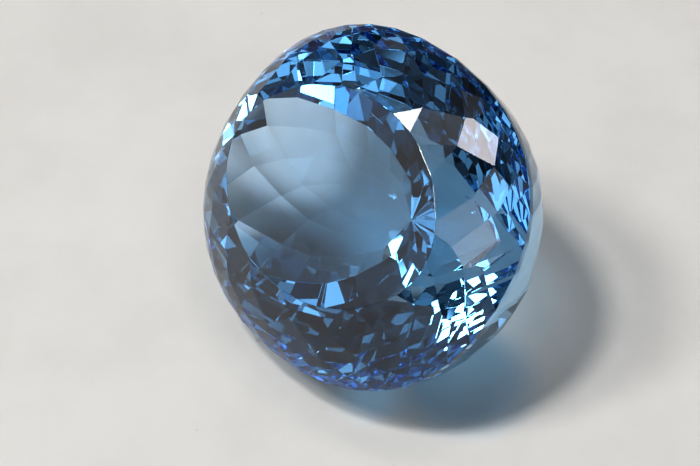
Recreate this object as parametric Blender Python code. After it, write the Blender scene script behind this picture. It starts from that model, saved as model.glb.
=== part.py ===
# A loose oval-cushion topaz in a multi-tier cut, lying on one facet of its pavilion.
# The stone is designed upright, table up and girdle at z = 0, then laid on the facet it rests on.
# Facets are numbered by stations, five degrees apart, counted from the +X end of the outline.

import bpy
import bmesh
import numpy as np
from math import atan2, cos, pi, radians, sin, sqrt
from mathutils import Matrix, Vector

# The outline is a superellipse: power 2 is a true oval, a higher power is more like a cushion
LENGTH = 0.0295
WIDTH = 0.0268
OUTLINE_POWER = 2.22

GIRDLE = 0.00046
TABLE_HEIGHT = 0.00498

STATIONS = 72
GIRDLE_EVERY = 2
GIRDLE_FIRST = 1

# Each crown tier from the girdle up: slope at the long ends, slope at the sides,
# stations from facet to facet, first station
CROWN = [
    (59.0, 57.0, 2, 1),
    (55.0, 52.0, 2, 0),
    (49.0, 46.0, 2, 1),
    (43.0, 40.0, 4, 0),
    (36.5, 33.5, 4, 2),
    (33.0, 30.5, 4, 0),
]

# Each pavilion tier from the girdle down: slope it would have on a round stone,
# stations from facet to facet, first station
PAVILION = [
    (79.0, 2, 1),
    (76.0, 2, 0),
    (71.0, 2, 1),
    (59.0, 4, 0),
    (52.5, 4, 2),
    (48.0, 4, 0),
    (44.0, 4, 2),
    (41.0, 4, 0),
    (39.0, 4, 2),
    (36.0, 4, 0),
]

# The stone lies on the facet of this pavilion tier at the middle of the -Y side
REST_TIER = 6
REST_STATION = 54

# How near a corner may be to a cut and still count as lying on it
TOUCH = 5e-7

BLUE = (0.09, 0.30, 0.62, 1.0)
ROUGHNESS = 0.02
TOPAZ_IOR = 1.62


def outline(station):
    """Azimuth of the outline's outward normal at a station, and its distance from the axis."""
    turn = 2 * pi * station / STATIONS
    azimuth = atan2(sin(turn) / (WIDTH / 2), cos(turn) / (LENGTH / 2))
    power = OUTLINE_POWER / (OUTLINE_POWER - 1)
    along = (LENGTH / 2 * abs(cos(azimuth))) ** power
    across = (WIDTH / 2 * abs(sin(azimuth))) ** power
    return azimuth, (along + across) ** (1 / power)


def plane(azimuth, flare, rise, point):
    """A plane through a point, as a unit normal and its distance from the stone's centre."""
    normal = np.array([flare * cos(azimuth), flare * sin(azimuth), rise])
    normal /= np.linalg.norm(normal)
    return normal, normal @ point


def meet(*planes):
    """The one point that three planes share."""
    return np.linalg.solve([normal for normal, reach in planes], [reach for normal, reach in planes])


def stations(every, first):
    return range(first, STATIONS, every)


def girdle_planes():
    ring = {}
    for station in stations(GIRDLE_EVERY, GIRDLE_FIRST):
        azimuth, reach = outline(station)
        ring[station] = plane(azimuth, 1.0, 0.0, [reach * cos(azimuth), reach * sin(azimuth), 0.0])
    return ring


def meet_point(tiers, level, station, side, girdle):
    """Where a facet of this tier starts: the corner that the tiers outside it leave there."""
    rim = (np.array([0.0, 0.0, 1.0]), side * GIRDLE / 2)
    if level == 0:
        azimuth, reach = outline(station)
        return np.array([reach * cos(azimuth), reach * sin(azimuth), side * GIRDLE / 2])
    if level == 1:
        return meet(girdle[(station - 1) % STATIONS], girdle[(station + 1) % STATIONS], rim)
    outer, beyond = tiers[level - 1], tiers[level - 2]
    half = STATIONS // len(outer) // 2
    left, right = outer[(station - half) % STATIONS], outer[(station + half) % STATIONS]
    if station in beyond:
        return meet(left, right, beyond[station])
    corners = [meet(left, right, beyond[(station + step) % STATIONS]) for step in (-1, 1)]
    return max(corners, key=lambda corner: corner[2] * side)


def crown_planes(girdle):
    tiers = []
    for level, (slope_ends, slope_sides, every, first) in enumerate(CROWN):
        tier = {}
        for station in stations(every, first):
            azimuth, reach = outline(station)
            slope = radians(slope_ends * cos(azimuth) ** 2 + slope_sides * sin(azimuth) ** 2)
            point = meet_point(tiers, level, station, 1, girdle)
            tier[station] = plane(azimuth, sin(slope), cos(slope), point)
        tiers.append(tier)
    return tiers


def pavilion_planes(girdle):
    """All facets of one tier aim at one point of the axis, so the tiers stay even down to the culet."""
    tiers = []
    mean_radius = (LENGTH + WIDTH) / 4
    for level, (slope, every, first) in enumerate(PAVILION):
        points = {s: meet_point(tiers, level, s, -1, girdle) for s in stations(every, first)}
        azimuth, reach = outline(first)
        flare = sin(radians(slope)) * mean_radius / reach
        normal, distance = plane(azimuth, flare, -cos(radians(slope)), points[first])
        aim = distance / normal[2]
        tier = {}
        for station, point in points.items():
            azimuth, reach = outline(station)
            out = point[0] * cos(azimuth) + point[1] * sin(azimuth)
            tier[station] = plane(azimuth, (point[2] - aim) / out, -1.0, point)
        tiers.append(tier)
    return tiers


def cut(stone, facet):
    """Grind away what lies beyond one plane and close the flat that this leaves."""
    normal, reach = facet
    everything = stone.verts[:] + stone.edges[:] + stone.faces[:]
    bmesh.ops.bisect_plane(stone, geom=everything, dist=TOUCH, plane_co=Vector(normal * reach),
                           plane_no=Vector(normal), clear_outer=True)
    rim = [edge for edge in stone.edges if edge.is_boundary]
    if rim:
        bmesh.ops.holes_fill(stone, edges=rim)


def lay_down(stone, facet):
    """Turn the stone about X until the facet is underneath, with the facet's middle at the origin."""
    normal = facet[0]
    slope = atan2(sqrt(normal[0] ** 2 + normal[1] ** 2), -normal[2])
    bmesh.ops.rotate(stone, verts=stone.verts, cent=(0, 0, 0), matrix=Matrix.Rotation(slope, 3, "X"))
    stone.normal_update()
    rest = min(stone.faces, key=lambda face: face.normal.z)
    middle = rest.calc_center_median_weighted()
    bmesh.ops.translate(stone, verts=stone.verts, vec=-middle)


def topaz_material():
    material = bpy.data.materials.new("blue topaz")
    material.use_nodes = True
    shader = material.node_tree.nodes["Principled BSDF"]
    shader.inputs["Base Color"].default_value = BLUE
    shader.inputs["Metallic"].default_value = 0.0
    shader.inputs["Roughness"].default_value = ROUGHNESS
    shader.inputs["IOR"].default_value = TOPAZ_IOR
    shader.inputs["Transmission Weight"].default_value = 1.0
    material.diffuse_color = BLUE
    return material


for thing in list(bpy.data.objects):
    bpy.data.objects.remove(thing)

# The rough block, a little larger than the finished stone
stone = bmesh.new()
block = 2 * LENGTH
bmesh.ops.create_cube(stone, size=block)

girdle = girdle_planes()
crown = crown_planes(girdle)
pavilion = pavilion_planes(girdle)
table = (np.array([0.0, 0.0, 1.0]), TABLE_HEIGHT)

# Girdle first, then the pavilion and the crown tier by tier, and the table last
for ring in [girdle] + pavilion + crown:
    for facet in ring.values():
        cut(stone, facet)
cut(stone, table)

lay_down(stone, pavilion[REST_TIER][REST_STATION])

mesh = bpy.data.meshes.new("topaz")
stone.to_mesh(mesh)
stone.free()
mesh.shade_flat()
mesh.materials.append(topaz_material())

topaz = bpy.data.objects.new("topaz", mesh)
bpy.context.scene.collection.objects.link(topaz)
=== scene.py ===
import bpy
import bmesh
from math import cos, radians, sin
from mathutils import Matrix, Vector


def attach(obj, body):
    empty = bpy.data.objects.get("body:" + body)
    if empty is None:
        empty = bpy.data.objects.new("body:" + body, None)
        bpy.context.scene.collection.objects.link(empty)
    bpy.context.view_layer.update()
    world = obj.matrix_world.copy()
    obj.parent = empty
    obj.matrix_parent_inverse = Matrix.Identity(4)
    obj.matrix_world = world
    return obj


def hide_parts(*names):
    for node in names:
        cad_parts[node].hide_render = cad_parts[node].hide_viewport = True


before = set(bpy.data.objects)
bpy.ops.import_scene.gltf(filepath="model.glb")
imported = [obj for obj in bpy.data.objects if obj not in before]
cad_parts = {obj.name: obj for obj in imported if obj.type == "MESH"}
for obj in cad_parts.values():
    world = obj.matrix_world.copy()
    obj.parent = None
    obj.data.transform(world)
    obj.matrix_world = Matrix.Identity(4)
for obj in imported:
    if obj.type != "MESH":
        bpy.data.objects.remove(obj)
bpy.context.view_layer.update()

# A loose, cut blue topaz lying on pale plaster, lit by three lamps in a dim room


def place(name, data):
    made = bpy.data.objects.new(name, data)
    bpy.context.scene.collection.objects.link(made)
    return made


def finishMesh(work, name, material):
    mesh = bpy.data.meshes.new(name)
    work.to_mesh(mesh)
    work.free()
    mesh.materials.append(material)
    return place(name, mesh)


# Shader maths: a socket that can be used in a Python expression

class Socket:
    def __init__(self, shader, output):
        self.shader = shader
        self.output = output

    def math(self, operation, first, second):
        return self.shader.node("ShaderNodeMath", {"operation": operation}, {0: first, 1: second})

    def __add__(self, other):
        return self.math("ADD", self, other)

    __radd__ = __add__

    def __rsub__(self, other):
        return self.math("SUBTRACT", other, self)

    def __mul__(self, other):
        return self.math("MULTIPLY", self, other)

    __rmul__ = __mul__

    def __lt__(self, other):
        return self.math("LESS_THAN", self, other)

    def ramp(self, low, high, outLow=0.0, outHigh=1.0):
        return self.shader.node("ShaderNodeMapRange", {"clamp": True, "interpolation_type": "SMOOTHSTEP"},
                                {0: self, 1: low, 2: high, 3: outLow, 4: outHigh})


class Shader:
    def __init__(self, owner, body="Principled BSDF", coordinates="Object"):
        owner.use_nodes = True
        self.owner = owner
        self.nodes = owner.node_tree.nodes
        self.links = owner.node_tree.links
        self.body = self.nodes[body]
        self.position = self.node("ShaderNodeTexCoord", output=coordinates)

    def node(self, kind, settings=None, sockets=None, output=0):
        made = self.nodes.new(kind)
        for key, value in (settings or {}).items():
            setattr(made, key, value)
        self.fill(made, sockets or {})
        return Socket(self, made.outputs[output])

    def fill(self, target, sockets):
        for key, value in sockets.items():
            if isinstance(value, Socket):
                self.links.new(value.output, target.inputs[key])
            else:
                target.inputs[key].default_value = value

    def set(self, **sockets):
        self.fill(self.body, {key.replace("_", " "): value for key, value in sockets.items()})

    def noise(self, scale, detail, roughness):
        return self.node("ShaderNodeTexNoise", {}, {"Vector": self.position, "Scale": scale,
                                                   "Detail": detail, "Roughness": roughness})

    # Scattered cells: how far a place is from its cell's middle, and one random number for each cell
    def cells(self, scale):
        grid = {"Vector": self.position, "Scale": scale}
        away = self.node("ShaderNodeTexVoronoi", {"feature": "F1"}, grid)
        colour = self.node("ShaderNodeTexVoronoi", {"feature": "F1"}, grid, output="Color")
        return away, self.node("ShaderNodeSeparateColor", {}, {0: colour})

    # One number from the position and a vector, such as the distance or the dot product
    def measure(self, operation, vector):
        return self.node("ShaderNodeVectorMath", {"operation": operation}, {0: self.position, 1: vector},
                         output="Value")

    def blend(self, factor, first, second):
        return self.node("ShaderNodeMix", {"data_type": "RGBA"}, {0: factor, 6: first, 7: second}, output=2)

    def bump(self, height, strength, distance):
        return self.node("ShaderNodeBump", {}, {"Height": height, "Strength": strength, "Distance": distance})


# The stone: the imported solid's facets with finely softened junctions

stoneLook = {
    "merge": 0.000002,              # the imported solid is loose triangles: corners this near become one
    "flat": 0.2,                    # degrees within which triangles belong to one facet
    "junction": 0.000018,           # width of the softened facet junctions, metres
    "tint": (0.97, 0.985, 1.0, 1.0),
    "ior": 1.62,
    "absorbColour": (0.250, 0.673, 0.905, 1.0),
    "absorbDensity": 62.0,          # per metre, times one minus the colour above
    "polish": 0.012,                # roughness of a clean facet
    "smear": 0.05,                  # roughness where it was handled
    "smears": (140.0, 4.0, 0.6),    # noise: scale, detail, roughness
    "smearEdge": (0.52, 0.72),      # the noise at a smear's rim and where it is full
    "streaks": (2600.0, 2.0, 0.5),  # finer noise that breaks the smears up
    "dustColour": (0.9, 0.92, 0.94, 1.0),
    "dustScale": 700.0,             # about one cell each 1.4 mm
    "dustEdge": (0.055, 0.0275),    # a speck's rim and where it is full, in parts of a cell
    "dustShare": 0.12,              # share of the cells that hold a speck
    "dustRoughness": 0.45,          # what a speck adds to the roughness
}


def clearTopaz():
    look = stoneLook
    s = Shader(bpy.data.materials.new("clear blue topaz"))
    away, chance = s.cells(look["dustScale"])
    dust = away.ramp(*look["dustEdge"]) * (chance < look["dustShare"])
    smear = s.noise(*look["smears"]).ramp(*look["smearEdge"])
    streaks = s.noise(*look["streaks"])
    smeared = smear * (look["smear"] - look["polish"]) * streaks
    roughness = look["polish"] + smeared + dust * look["dustRoughness"]
    s.set(Base_Color=s.blend(dust, look["tint"], look["dustColour"]), Roughness=roughness, Metallic=0.0,
          IOR=look["ior"], Transmission_Weight=1.0)
    volume = s.node("ShaderNodeVolumeAbsorption", {},
                    {"Color": look["absorbColour"], "Density": look["absorbDensity"]})
    s.fill(s.nodes["Material Output"], {"Volume": volume})
    return s.owner


def facetedStone():
    look = stoneLook
    work = bmesh.new()
    work.from_mesh(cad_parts["topaz"].data)
    bmesh.ops.remove_doubles(work, verts=work.verts, dist=look["merge"])
    bmesh.ops.dissolve_limit(work, angle_limit=radians(look["flat"]), verts=work.verts, edges=work.edges)
    bmesh.ops.bevel(work, geom=work.edges[:], affect="EDGES", offset=look["junction"], segments=1,
                    profile=0.5, material=-1, clamp_overlap=True)
    stone = finishMesh(work, "topazStone", clearTopaz())
    stone.data.shade_flat()
    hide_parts("topaz")
    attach(stone, "root")
    return stone


stone = facetedStone()
print("stone:", len(stone.data.polygons), "faces")


# The floor: flat pale plaster with faint mottling, a fine grain and a few dark specks, and painted shade and
# painted light around the stone

floorLook = {
    "half": 1.5,                    # half its width, metres
    "drop": 0.00002,                # how far it lies under the stone's facet
    "pale": (0.72, 0.71, 0.69, 1.0),
    "dull": (0.66, 0.65, 0.63, 1.0),
    "mottle": (60.0, 5.0, 0.55),    # noise: scale, detail, roughness
    "mottleEdge": (0.35, 0.7),      # the noise where the plaster is pale and where it is dull
    "roughness": 0.55,
    "dullRoughness": 0.2,           # what the dull parts add to it
    "shine": 0.25,
    "grain": (1800.0, 3.0, 0.6),
    "grainStrength": 0.15,
    "grainDepth": 0.00005,
    "speckColour": (0.33, 0.31, 0.29, 1.0),
    "speckScale": 240.0,            # about one cell each 4 mm
    "speckEdge": (0.13, 0.06),      # a speck's rim and where it is full, in parts of a cell
    "speckShare": 0.16,             # share of the cells that hold a speck
    "speckStrength": 0.6,
    "ragged": (2400.0, 2.0, 0.5),   # noise that wears the specks' rims
    "raggedness": 0.08,
    "paintedLightStrength": 0.52,                   # brightness of the painted spots of light below
}

# Soft round spots of painted shade and painted light that stand in for the light and the shade that a real
# stone casts through itself. The painted contact shade and the painted pool of light show through the table,
# and the painted blue shade and the painted gleam of light lie in the stone's shadow. A spot is full within
# its inner radius and ends at its outer one, and it paints shade into the plaster's colour or paints light as
# a glow of the plaster.
paintedLightAndShade = {
    # painted shade: the plaster darkened under the stone, where its shade falls
    "paintedContactShade": {"middle": (-0.0045, 0.0005, 0.0), "inner": 0.0015, "outer": 0.0085,
                "paintedShade": (0.12, 0.09, 0.075, 1.0)},
    # painted shade: the plaster darkened and blued in the stone's shadow, for the blue light that passes
    # through the stone
    "paintedBlueShade": {"middle": (0.0103, -0.0008, 0.0), "inner": 0.003, "outer": 0.007,
              "paintedShade": (0.375, 0.51, 0.61, 1.0)},
    # painted light: a glow on the plaster behind the stone, for the light that the stone gathers there
    "paintedPoolOfLight": {"middle": (-0.0095, 0.0089, 0.0), "inner": 0.001, "outer": 0.0046,
             "light": (1.0, 0.95, 0.98, 1.0)},
    # painted light: a blue glow on the plaster in the stone's shadow, for light passed through the stone
    "paintedGleamOfLight": {"middle": (0.0066, -0.0077, 0.0), "inner": 0.0004, "outer": 0.0036,
              "light": (0.03, 0.14, 0.25, 1.0)},
}


def palePlaster():
    look = floorLook
    s = Shader(bpy.data.materials.new("pale plaster"))
    mottle = s.noise(*look["mottle"]).ramp(*look["mottleEdge"])
    grain = s.noise(*look["grain"])
    away, chance = s.cells(look["speckScale"])
    worn = away + s.noise(*look["ragged"]) * look["raggedness"]
    specks = worn.ramp(*look["speckEdge"]) * (chance < look["speckShare"])
    plaster = s.blend(mottle, look["pale"], look["dull"])
    plaster = s.blend(specks * look["speckStrength"], plaster, look["speckColour"])
    light = (0.0, 0.0, 0.0, 1.0)    # no painted light, but for the spots of painted light on the plaster
    # Each spot paints shade into the plaster's colour or paints light into its glow
    for spot in paintedLightAndShade.values():
        near = s.measure("DISTANCE", spot["middle"]).ramp(spot["outer"], spot["inner"])
        if "paintedShade" in spot:
            plaster = s.blend(near, plaster, spot["paintedShade"])
        else:
            light = s.blend(near, light, spot["light"])
    s.set(Base_Color=plaster, Emission_Color=light, Emission_Strength=look["paintedLightStrength"],
          Roughness=look["roughness"] + mottle * look["dullRoughness"], Specular_IOR_Level=look["shine"],
          Normal=s.bump(grain, look["grainStrength"], look["grainDepth"]))
    return s.owner


def plasterFloor():
    work = bmesh.new()
    bmesh.ops.create_grid(work, x_segments=1, y_segments=1, size=floorLook["half"])
    bmesh.ops.translate(work, verts=work.verts, vec=(0, 0, -floorLook["drop"]))
    floor = finishMesh(work, "floor", palePlaster())


plasterFloor()
print("floor laid")


# Studio light: three round lamps above the stone, where the edges of its shadow put them

warmWhite = (1.0, 0.985, 0.96)
pinkWhite = (1.0, 0.95, 1.0)

# Direction from the stone, width in metres, power, and whether the lamp shows through the stone: the far
# one's image would fall on the wrong facets
lamps = {
    "near": {"towards": (-0.09, -0.38, 1.0), "size": 0.13, "watts": 3.9,
             "colour": warmWhite, "glints": True},
    "far": {"towards": (-0.30, -0.62, 1.0), "size": 0.17, "watts": 2.5,
            "colour": warmWhite, "glints": False},
    "above": {"towards": (0.03, 0.23, 0.97), "size": 0.14, "watts": 0.46,
              "colour": pinkWhite, "glints": True},
}
lampAim = Vector((0.0, -0.002, 0.008))
lampDistance = 0.9


def studioLight():
    for name, spec in lamps.items():
        light = bpy.data.lights.new(name, "AREA")
        light.shape = "DISK"
        light.size = spec["size"]
        light.energy = spec["watts"]
        light.color = spec["colour"]
        towards = Vector(spec["towards"]).normalized()
        lamp = place(name, light)
        lamp.location = lampAim + towards * lampDistance
        lamp.rotation_euler = (-towards).to_track_quat("-Z", "Y").to_euler()
        lamp.visible_transmission = spec["glints"]


# The room: dim, patchy walls with small glimmers, a dark side towards the camera, and soft cards of light

room = {
    "colour": (0.97, 0.98, 1.0, 1.0),
    "walls": 0.09,                  # their mean brightness
    "patches": (5.0, 1.0, 0.4),     # noise: scale, detail, roughness
    "patchEdge": (0.35, 0.65),      # the noise where the walls are darkest and brightest
    "patchDepth": 0.85,             # how much the walls vary round their mean
    "glimmers": (8.0, 0.0, 0.5),    # noise that scatters small brighter things all round
    "glimmerEdge": (0.60, 0.65),
    "glimmer": 0.4,                 # their brightness
    "dark": {"azimuth": 308, "elevation": 40, "inner": 20, "outer": 42, "tone": 0.03},
}

# Azimuth runs from +X towards +Y and elevation from the floor up, in degrees. A card is full within its
# inner angle and ends at its outer one, and its tone is its brightness.
cards = {
    "left": {"azimuth": 228, "elevation": 32, "inner": 8, "outer": 14, "tone": 0.7},
    "right": {"azimuth": 352, "elevation": 60, "inner": 8, "outer": 14, "tone": 1.5},
    "front": {"azimuth": 270, "elevation": 22, "inner": 5, "outer": 9, "tone": 1.6},
    "band": {"azimuth": 252, "elevation": 39, "inner": 4, "outer": 8, "tone": 1.0},
    "lamp": {"azimuth": 260, "elevation": 56, "inner": 2.5, "outer": 3.5, "tone": 14.0},
    "quad": {"azimuth": 294, "elevation": 18, "inner": 4, "outer": 6, "tone": 1.6},
    "back": {"azimuth": 112, "elevation": 23, "inner": 5, "outer": 9, "tone": 2.0},
    "edge": {"azimuth": 2, "elevation": 62, "inner": 1.5, "outer": 2.5, "tone": 8.0},
    "crest": {"azimuth": 347, "elevation": 41, "inner": 2, "outer": 3.5, "tone": 3.0},
    "side": {"azimuth": 350, "elevation": 20, "inner": 3, "outer": 5, "tone": 2.0},
    "spark": {"azimuth": 171, "elevation": 68, "inner": 1.6, "outer": 2.2, "tone": 18.0},
    "pane": {"azimuth": 152, "elevation": 76, "inner": 1.5, "outer": 2.5, "tone": 1.0},
}


def roundCard(s, card):
    a, e = radians(card["azimuth"]), radians(card["elevation"])
    facing = s.measure("DOT_PRODUCT", (cos(a) * cos(e), sin(a) * cos(e), sin(e)))
    return facing.ramp(cos(radians(card["outer"])), cos(radians(card["inner"])))


def dimRoom():
    s = Shader(bpy.data.worlds.new("dim room"), "Background", "Generated")
    patches = s.noise(*room["patches"]).ramp(*room["patchEdge"], -1.0, 1.0)
    vary = 1 + patches * room["patchDepth"]
    dark = roundCard(s, room["dark"])
    tone = vary * (room["walls"] * (1 - dark) + dark * room["dark"]["tone"])
    tone = tone + s.noise(*room["glimmers"]).ramp(*room["glimmerEdge"]) * room["glimmer"]
    for card in cards.values():
        tone = tone + roundCard(s, card) * card["tone"]
    s.set(Color=room["colour"], Strength=tone)
    bpy.context.scene.world = s.owner


studioLight()
dimRoom()
print("lights placed")


# The camera, fitted to the outline of the stone in the picture

cameraFit = {
    "azimuth": 48.03,               # degrees from -Y towards +X
    "elevation": 46.09,
    "distance": 0.25,
    "girdleCentre": (0.0, -0.0024193, 0.0129022),
    "girdlePixel": (363.3, 206.0),  # where the girdle's centre falls, from the picture's upper left corner
    "pixelsPerMetre": 13000.0,      # at the girdle's centre
    "imageWidth": 700,
    "imageHeight": 466,
    "sensor": 36.0,                 # mm
    "clip": (0.01, 10.0),
}


def placeCamera():
    fit = cameraFit
    data = bpy.data.cameras.new("camera")
    view = place("camera", data)
    a, e = radians(fit["azimuth"]), radians(fit["elevation"])
    back = Vector((sin(a) * cos(e), -cos(a) * cos(e), sin(e)))
    right = Vector((0, 0, 1)).cross(back).normalized()
    up = back.cross(right)
    offX = (fit["imageWidth"] / 2 - fit["girdlePixel"][0]) / fit["pixelsPerMetre"]
    offY = (fit["girdlePixel"][1] - fit["imageHeight"] / 2) / fit["pixelsPerMetre"]
    centre = Vector(fit["girdleCentre"]) + right * offX + up * offY
    view.location = centre + back * fit["distance"]
    view.rotation_mode = "QUATERNION"
    view.rotation_quaternion = (-back).to_track_quat("-Z", "Y")
    data.sensor_width = fit["sensor"]
    data.lens = fit["sensor"] * fit["distance"] * fit["pixelsPerMetre"] / fit["imageWidth"]
    data.clip_start, data.clip_end = fit["clip"]
    bpy.context.scene.camera = view


# The picture: its tones, and how the light is traced

pictureLook = {
    "transform": "Standard",
    "gamma": 0.92,
    "bounces": 32,                  # light runs round inside the stone many times before it comes out
    "glossyBounces": 16,
    "sampling": "TABULATED_SOBOL",  # the default pattern leaves a maze in the facets after denoising
}


def setPicture():
    scene = bpy.context.scene
    scene.view_settings.view_transform = pictureLook["transform"]
    scene.view_settings.gamma = pictureLook["gamma"]
    scene.cycles.max_bounces = pictureLook["bounces"]
    scene.cycles.transmission_bounces = pictureLook["bounces"]
    scene.cycles.glossy_bounces = pictureLook["glossyBounces"]
    scene.cycles.sampling_pattern = pictureLook["sampling"]


placeCamera()
setPicture()
print("camera placed")
